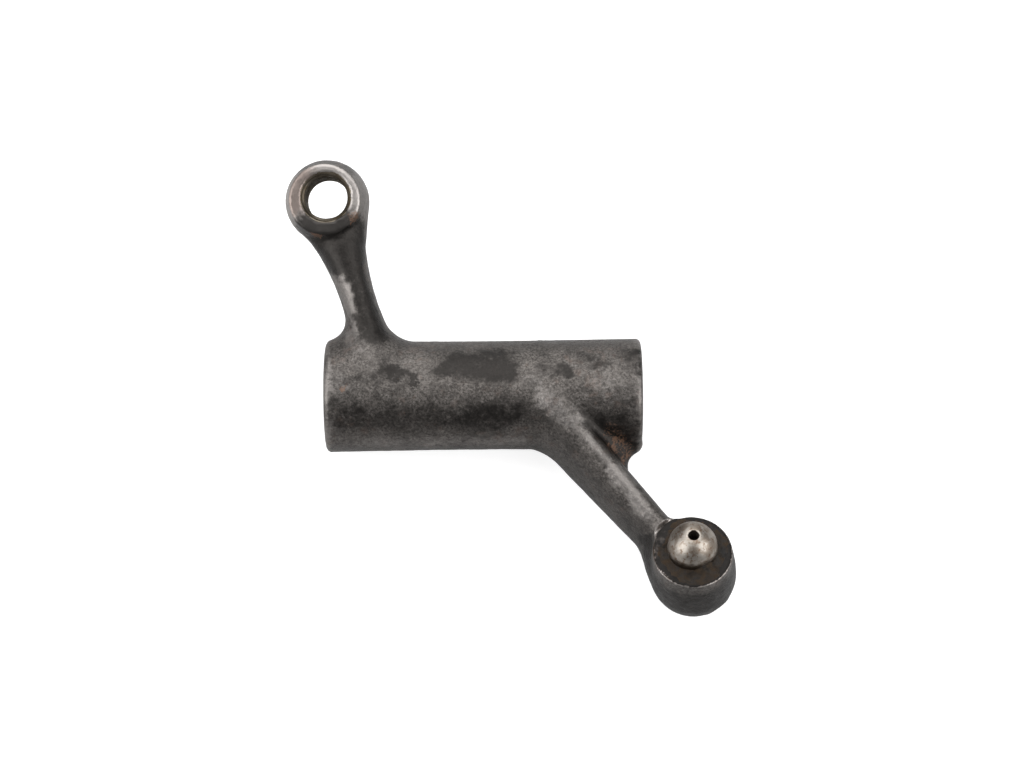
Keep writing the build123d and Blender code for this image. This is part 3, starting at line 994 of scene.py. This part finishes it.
RUST_SPOTS = (
    Spot(0.55, (-21.4, 26.2, 13.1), 1.0, 0.1),
    Spot(0.70, (-26.7, 23.6, 12.1), 2.2, 0.2),
)
# The valley where the ball's arm leaves the barrel. It carries painted shade, laid as dirt, and rust and
# varnish.
VALLEY = (Streak(1.0, (20.5, -7.5, 5.0), (23.5, -10.5, 1.5), 3.0, 0.2),)


def settle(forging, points, rounds, longest=0.3):
    """Moves points onto the forging's surface by Newton steps, and gives their outward normals."""
    least_square = 0.05
    for _ in range(rounds):
        slope = forging.slope(points)
        square = np.maximum((slope**2).sum(axis=1), least_square)
        step = np.clip(forging.distance(points) / square, -longest, longest)
        points = points - step[:, None] * slope
    slope = forging.slope(points)
    return points, slope / np.linalg.norm(slope, axis=1)[:, None]


def curvature(forging, points, normals, reach):
    """Above 0 on an edge and below 0 in a hollow, as a height over that reach in millimetres."""
    any_way = (0.31, 0.77, 0.55)
    first = np.cross(normals, any_way)
    first /= np.linalg.norm(first, axis=1)[:, None]
    second = np.cross(normals, first)
    around = [forging.distance(points + sign * reach * side) for side in (first, second) for sign in (-1, 1)]
    return np.mean(around, axis=0)


class WearAndPaintedLight:
    """Masks of the forging: where it is cut, rubbed bright, stained, pitted, dirty, varnished and rusty, and
    where light and shade are painted on it.
    """

    def __init__(self, forging, points, normals):
        self.forging, self.points = forging, points
        fine, broad = curvature(forging, points, normals, 0.35), curvature(forging, points, normals, 1.6)
        self.clouds, self.flecks = fractal(points, 6.0, 4, 4), fractal(points, 1.4, 3, 6)
        self.edges = ramp(fine, 0.012, 0.06) * (0.35 + 0.65 * ramp(self.flecks, -0.3, 0.4))
        self.crowns, self.hollows = ramp(broad, 0.09, 0.34), ramp(-broad, 0.04, 0.22)
        drift = np.array((1.0, 0.6, 0.3))
        self.ragged = points + (1.2 * self.clouds + 0.6 * self.flecks)[:, None] * drift
        self.seat = forging.seat_axes.local(points)
        rim = forging.boss["diameter"] / 2 - forging.boss["draw"]
        on_seat = ramp(np.hypot(self.seat[:, 0], self.seat[:, 1]), rim + 0.5, rim - 0.1)
        self.spot_face = ramp(np.abs(self.seat[:, 2]), 0.12, 0.03) * on_seat
        self.eye = forging.eye_axes.local(points)
        radius, half_thickness = forging.eye["diameter"] / 2, forging.eye["thickness"] / 2
        on_eye = ramp(np.hypot(self.eye[:, 0], self.eye[:, 1]), radius + 1.5, radius)
        self.flank = on_eye * ramp(np.abs(self.eye[:, 2]), half_thickness + 0.1, half_thickness - 0.5)
        self.valley = self.laid(VALLEY)

    def laid(self, marks):
        """All of the marks given, added up."""
        return sum(mark.strength * self.cover(mark) for mark in marks)

    def cover(self, mark):
        """How far a mark covers each point, from 0 to 1."""
        if isinstance(mark, Streak):
            return streak(self.ragged, mark.start, mark.end, mark.radius, mark.softness)
        if isinstance(mark, Spot):
            return spot(self.ragged, mark.centre, mark.radius, mark.softness)
        radius, turn = self.forging.barrel["radius"], radians(mark.degrees)
        centre = (mark.x, radius * np.sin(turn), radius * np.cos(turn))
        return spot(self.ragged, centre, mark.radius, mark.softness)

    def machined(self):
        """What was cut, and the eye's flank at its -X side, given the cut steel's colour as a painted
        highlight.
        """
        cut = self.forging.cut_share(self.points, 0.30, 0.04)
        side = ramp(-self.eye[:, 0] + self.clouds, 2.0, 5.5)
        not_behind = ramp(self.eye[:, 1] + 1.5 * self.clouds, 5.5, 1.0)
        return np.maximum(cut, 0.9 * self.flank * side * not_behind)

    def rubbed(self):
        # Rubbed wear on edges and crowns, with painted highlights from the bright streaks.
        sides = ramp(np.abs(self.eye[:, 0]), 3.5, 5.5) * ramp(self.eye[:, 1], -5.0, -2.0)
        everywhere = 0.55 * self.edges + 0.28 * self.crowns + 0.2 * ramp(self.clouds, -0.1, 0.6)
        return everywhere + self.laid(BRIGHT_ROUNDS + BRIGHT_STREAKS) + 0.7 * self.flank * sides

    def stained(self, rubbed):
        boss, sizes = self.forging.dome_axes.local(self.points), self.forging.boss
        off_boss = np.hypot(boss[:, 0], boss[:, 1]) - sizes["diameter"] / 2
        # Painted shade on the lower side of the boss.
        shaded_boss_side = ramp(off_boss, 2.0, 0.2) * ramp(boss[:, 2], sizes["side_height"], 3.0)
        # Darker in hollows, and where the broad noise is low.
        everywhere = 0.5 * self.hollows + 0.4 * ramp(-self.clouds, 0.0, 0.6)
        # The dark marks hold real stains and painted shade.
        dark = everywhere + self.laid(DARK_ROUNDS + DARK_STREAKS) + 1.1 * shaded_boss_side
        dark *= 1 - 0.7 * ramp(rubbed, 0.3, 1.2)
        return dark + 0.9 * self.spot_face + 0.9 * spot(self.ragged, self.forging.plug_mouth(), 3.0, 0.6)

    def pitted(self):
        return self.laid(PITTED_ROUNDS) + 0.22 * ramp(self.flecks, 0.2, 0.8)

    def dirt(self):
        """Dirt on the spot face, less at its -X side, and painted shade in the valley."""
        oily = 0.62 + 0.33 * ramp(self.seat[:, 0] + 1.5 * self.clouds, -5.5, -2.0)
        return oily * self.spot_face + 0.5 * self.valley * ramp(self.clouds, -0.6, 0.2)

    def varnish(self):
        return 0.35 * ramp(self.flecks + self.clouds, 0.2, 0.9) + 0.6 * self.valley + 0.8 * self.spot_face

    def rust(self):
        return 0.25 * ramp(self.flecks, 0.1, 0.7) + 0.42 * self.valley + self.laid(RUST_ROUNDS + RUST_SPOTS)

    def masks(self):
        """Each mask by its name. Stains and painted shade weaken the rubbed wear and painted highlights, and
        the other way round.
        """
        rubbed = self.rubbed()
        stained = self.stained(rubbed)
        return {
            "machined": self.machined(),
            "bright": rubbed - 0.4 * self.hollows - 0.4 * ramp(stained, 0.5, 1.0),
            "dark": stained,
            "pitted": self.pitted(),
            "dirt": self.dirt(),
            "varnish": self.varnish(),
            "rust": self.rust(),
        }


# ---------------------------------------------------------------- Operators


class ROCKER_OT_forging(bpy.types.Operator):
    """Build the one-piece forging with its worn edges, relief, stains and wear, and its painted light and
    shade
    """

    bl_idname = "rocker.forging"
    bl_label = "Forging"

    def execute(self, context):
        scene = context.scene
        finish = scene.rocker_finish
        forging = Forging(scene)
        piece = self.skin(forging, finish.voxel / MM)
        mesh = piece.data
        points, normals = settle(forging, vertices_of(mesh), 2)
        for name, values in WearAndPaintedLight(forging, points, normals).masks().items():
            keep_mask(mesh, name, values)
        points = points - self.relief(forging, points, finish.relief / MM)[:, None] * normals
        mesh.vertices.foreach_set("co", (points * MM).ravel())
        mesh.materials.append(forging_material(finish, forging))
        mesh.polygons.foreach_set("use_smooth", [True] * len(mesh.polygons))
        mesh.update()
        apply_modifier(piece, "WEIGHTED_NORMAL", mode="FACE_AREA", weight=50)
        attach(piece, "root")
        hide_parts("rocker_body")
        return {"FINISHED"}

    def skin(self, forging, voxel):
        """An even mesh on the forging's surface, in millimetres, found from the solid's own mesh."""
        mesh = frame["nodes"]["rocker_body"].data.copy()
        mesh.materials.clear()
        mesh.transform(Matrix.Scale(1 / MM, 4))
        piece = bpy.data.objects.new("worn_forging_and_painted_light", mesh)
        bpy.context.scene.collection.objects.link(piece)
        for size, rounds in ((2 * voxel, 4), (voxel, 2)):
            apply_modifier(piece, "REMESH", mode="VOXEL", voxel_size=size)
            self.settle_mesh(piece, forging, rounds)
            apply_modifier(piece, "SMOOTH", factor=0.5, iterations=3)
            self.settle_mesh(piece, forging, 2)
        return piece

    def settle_mesh(self, piece, forging, rounds):
        points, _ = settle(forging, vertices_of(piece.data), rounds)
        piece.data.vertices.foreach_set("co", points.ravel())

    def relief(self, forging, points, depth):
        """How far each point sinks below the even surface, where no cutter has been."""
        forged = 1 - forging.cut_share(points, 1.2, 0.6)
        waves = 0.5 + 0.35 * fractal(points, 5.0, 3, 1) + 0.25 * fractal(points, 1.1, 3, 2)
        pits = 0.6 * ramp(fractal(points, 0.8, 2, 3), 0.35, 0.75)
        return depth * forged * (np.maximum(waves, 0) + pits)


class ROCKER_OT_adjuster_thread(bpy.types.Operator):
    """Cut the adjuster's thread into the eye, with a chamfer at each mouth"""

    bl_idname = "rocker.adjuster_thread"
    bl_label = "Adjuster thread"

    def execute(self, context):
        scene = context.scene
        forging = Forging(scene)
        sizes = forging.eye
        segments, rows = 112, 128
        mouth_sink, mouth_chamfer = 0.12, 0.14
        outside = 4.35
        steepness, flat = 1.18, 0.12
        top = sizes["thickness"] / 2 - mouth_sink
        major, minor = sizes["thread_diameter"] / 2, forging.minor_radius
        turn = np.linspace(0, 1, segments, endpoint=False)
        rings, depths = [], []
        for height in np.linspace(-top, top, rows):
            phase = np.mod(height / sizes["thread_pitch"] - turn, 1)
            groove = np.clip(steepness * (1 - 2 * np.abs(phase - 0.5)) - flat, 0, 1)
            cone = major + mouth_chamfer - (top - abs(height))
            radius = np.maximum(minor + (major - minor) * groove, cone)
            rings.append((radius, height))
            depths.append(np.where(radius > cone, groove, 0.0))
        rings += [(outside, top), (outside, -top)]
        depths += [np.ones(segments)] * 2
        points, faces = turned_mesh(forging.eye_axes, rings, segments)
        material = thread_material(scene.rocker_finish.machined_grey, scene.rocker_thread)
        piece = mesh_object("adjuster_thread", points, faces, material)
        keep_mask(piece.data, "depth", np.concatenate(depths))
        return {"FINISHED"}


class ROCKER_OT_ball_pin(bpy.types.Operator):
    """Turn the polished ball pin, with its oil hole, and the sludge round its foot"""

    bl_idname = "rocker.ball_pin"
    bl_label = "Ball pin"

    def execute(self, context):
        scene = context.scene
        forging = Forging(scene)
        self.pin(scene, forging)
        self.sludge(scene, forging)
        return {"FINISHED"}

    def pin(self, scene, forging):
        sizes, ball = forging.boss, forging.ball_radius
        land, hole, shank = sizes["head_land"], sizes["oil_hole"] / 2, sizes["shank_diameter"] / 2
        lip, edge, chamfer = 0.16, 0.08, 0.5
        segments = 160
        top_angle = np.degrees(np.arccos((hole + lip) / ball))
        lip_height = land + ball * np.sin(radians(top_angle))
        foot = -sizes["shank_length"]
        bore_heights = (foot, foot / 2, 0, lip_height - 2, lip_height - lip)
        profile = [(hole, height) for height in bore_heights]
        profile += bend((hole + lip, lip_height - lip), lip, 180, 112, 6)[1:]
        profile += bend((0, land), ball, top_angle, 0, 48)
        profile += [(ball, land * 0.66), (ball, land * 0.33), (ball, edge), (ball - edge, 0)]
        profile += [(shank, 0), (shank, foot + chamfer), (shank - chamfer, foot)]
        points, faces = turned_mesh(forging.seat_axes, profile, segments)
        piece = mesh_object("polished_pin", points, faces, pin_material(scene.rocker_pin))
        local = forging.seat_axes.local(points)
        keep_mask(piece.data, "dirt", 1.1 * ramp(local[:, 2] + 0.55 * local[:, 1], 2.4, -1.0))
        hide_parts("ball_pin")

    def sludge(self, scene, forging):
        """Lumpy burnt oil between the ball's foot and the rim of the spot face."""
        segments, rows = 180, 16
        tuck, rim, sunk, lowest = 0.05, 0.15, 0.1, -0.08
        lump_turn = radians(-62)
        inner = forging.ball_radius - tuck
        outer = forging.boss["diameter"] / 2 - forging.boss["draw"] - rim
        turn = np.linspace(0, 2 * pi, segments, endpoint=False)
        big_lump = ramp(np.cos(turn - lump_turn), 0.90, 1.0)
        rings = [(inner, -sunk)]
        for out in np.linspace(0, 1, rows):
            radius = inner + (outer - inner) * out
            ring = np.stack((radius * np.cos(turn), radius * np.sin(turn), 0 * turn), axis=1)
            lumps = fractal(ring, 2.2, 3, 7) + 0.5 * fractal(ring, 0.7, 2, 8)
            bare = 0.30 * ramp(np.cos(turn), -0.3, -0.9) * out
            climb = (0.75 - 0.35 * np.sin(turn)) * (1 - out) ** 3 + 0.9 * big_lump * (1 - out)
            height = 0.12 + 0.30 * lumps + climb - 0.25 * out**4 - bare
            rings.append((radius, np.maximum(height, lowest)))
        rings.append((outer, -sunk))
        points, faces = turned_mesh(forging.seat_axes, rings, segments)
        piece = mesh_object("oil_sludge", points, faces, sludge_material(scene.rocker_finish))


class ROCKER_OT_oilway_plug(bpy.types.Operator):
    """Drive the small plug into the outer end of the oilway"""

    bl_idname = "rocker.oilway_plug"
    bl_label = "Oilway plug"

    def execute(self, context):
        scene = context.scene
        forging = Forging(scene)
        play, edge, dish, stained_rim = 0.01, 0.2, 0.14, 0.35
        segments = 72
        radius, top = forging.oilway["plug_diameter"] / 2 - play, forging.plug_top
        foot = top - forging.oilway["plug_length"]
        profile = [(0, foot), (radius - edge, foot), (radius, foot + edge), (radius, top - edge)]
        profile += bend((radius - edge, top - edge), edge, 0, 90, 6)[1:]
        profile += [(radius * out, top - dish * (1 - out**2)) for out in (0.8, 0.6, 0.4, 0.2)]
        profile += [(0, top - dish)]
        points, faces = turned_mesh(forging.oilway_axes, profile, segments)
        material = plug_material(scene.rocker_plug, scene.rocker_finish.oil_black)
        piece = mesh_object("driven_plug", points, faces, material)
        local = forging.oilway_axes.local(points)
        keep_mask(piece.data, "dirt", ramp(np.hypot(local[:, 0], local[:, 1]), radius - stained_rim, radius))
        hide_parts("oilway_plug")
        return {"FINISHED"}


class ROCKER_OT_stage(bpy.types.Operator):
    """Lay the pale floor, hang the lamps and set the camera"""

    bl_idname = "rocker.stage"
    bl_label = "Stage"

    def execute(self, context):
        look = context.scene.rocker_stage
        self.floor(look)
        self.world(look)
        self.lamp("overhead_light", (-0.05, 0.60, 0.95), 1.5, look.overhead_power)
        self.lamp("back_light", (0.0, 1.1, 0.32), 0.9, look.back_power)
        self.lamp("left_light", (-0.85, -0.20, 0.65), 1.1, look.side_power)
        self.lamp("right_light", (0.85, -0.18, 0.65), 1.1, look.side_power)
        self.camera(context.scene, look)
        context.scene.view_settings.view_transform = "Standard"
        return {"FINISHED"}

    def seen(self, nodes):
        """1 for the rays that show the backdrop itself, 0 for what it sheds on the part."""
        return nodes.add("ShaderNodeLightPath").outputs["Is Camera Ray"]

    def floor(self, look):
        half, level = look.floor_size / 2, cad_box[0][2]
        corners = [(x * half, y * half, level) for x, y in ((-1, -1), (1, -1), (1, 1), (-1, 1))]
        mesh = bpy.data.meshes.new("floor")
        mesh.from_pydata(corners, [], [(0, 1, 2, 3)])
        floor = bpy.data.objects.new("floor", mesh)
        bpy.context.scene.collection.objects.link(floor)
        material = Material("Pale floor", look.floor)
        material.shade(
            Base_Color=opaque(look.floor),
            Roughness=0.8,
            Specular_IOR_Level=0.1,
            Emission_Color=(1, 1, 1, 1),
            Emission_Strength=material.times(self.seen(material), look.glow),
        )
        mesh.materials.append(material.made)

    def world(self, look):
        world = bpy.data.worlds.new("Soft studio")
        bpy.context.scene.world = world
        world.use_nodes = True
        nodes = Nodes(world.node_tree)
        backdrop = nodes.mix(self.seen(nodes), opaque(look.room), (1, 1, 1, 1))
        nodes.set(world.node_tree.nodes["Background"], Color=backdrop)

    def lamp(self, name, place, size, watts):
        light = bpy.data.lights.new(name, "AREA")
        light.shape, light.size, light.energy = "DISK", size, watts
        lamp = bpy.data.objects.new(name, light)
        lamp.location = place
        lamp.rotation_euler = (-Vector(place)).to_track_quat("-Z", "Y").to_euler()
        bpy.context.scene.collection.objects.link(lamp)

    def camera(self, scene, look):
        turn = (Matrix.Rotation(look.roll, 3, "Z") @ Matrix.Rotation(-look.tilt, 3, "X")).transposed()
        data = bpy.data.cameras.new("camera")
        data.lens, data.sensor_width, data.clip_start = look.focal_length, 36.0, 0.01
        camera = bpy.data.objects.new("camera", data)
        place = turn @ Vector((look.aim_right, look.aim_up, look.distance))
        camera.matrix_world = Matrix.Translation(place) @ turn.to_4x4()
        scene.collection.objects.link(camera)
        scene.camera = camera


# ---------------------------------------------------------------- Panel and registration

GROUPS = {
    "rocker_barrel": BarrelSizes,
    "rocker_eye": EyeSizes,
    "rocker_boss": BossSizes,
    "rocker_oilway": OilwaySizes,
    "rocker_finish": ForgingFinish,
    "rocker_thread": ThreadFinish,
    "rocker_pin": PinFinish,
    "rocker_plug": PlugFinish,
    "rocker_stage": StageLook,
}
OPERATORS = (
    ROCKER_OT_forging,
    ROCKER_OT_adjuster_thread,
    ROCKER_OT_ball_pin,
    ROCKER_OT_oilway_plug,
    ROCKER_OT_stage,
)


class ROCKER_PT_panel(bpy.types.Panel):
    """Sizes, finishes and the pieces of the rocker arm"""

    bl_idname = "ROCKER_PT_panel"
    bl_label = "Rocker Arm"
    bl_space_type = "VIEW_3D"
    bl_region_type = "UI"
    bl_category = "Rocker Arm"

    def draw(self, context):
        for name, group in GROUPS.items():
            box = self.layout.box()
            box.label(text=group.__doc__)
            for size in group.__annotations__:
                box.prop(getattr(context.scene, name), size)
        for operator in OPERATORS:
            self.layout.operator(operator.bl_idname)


CLASSES = (*GROUPS.values(), *OPERATORS, ROCKER_PT_panel)


def register():
    for made in CLASSES:
        bpy.utils.register_class(made)
    for name, group in GROUPS.items():
        setattr(bpy.types.Scene, name, PointerProperty(type=group))


def unregister():
    for name in GROUPS:
        delattr(bpy.types.Scene, name)
    for made in reversed(CLASSES):
        bpy.utils.unregister_class(made)


def main():
    register()
    bpy.ops.rocker.forging()
    bpy.ops.rocker.adjuster_thread()
    bpy.ops.rocker.ball_pin()
    bpy.ops.rocker.oilway_plug()
    bpy.ops.rocker.stage()


if __name__ == "__main__":
    main()
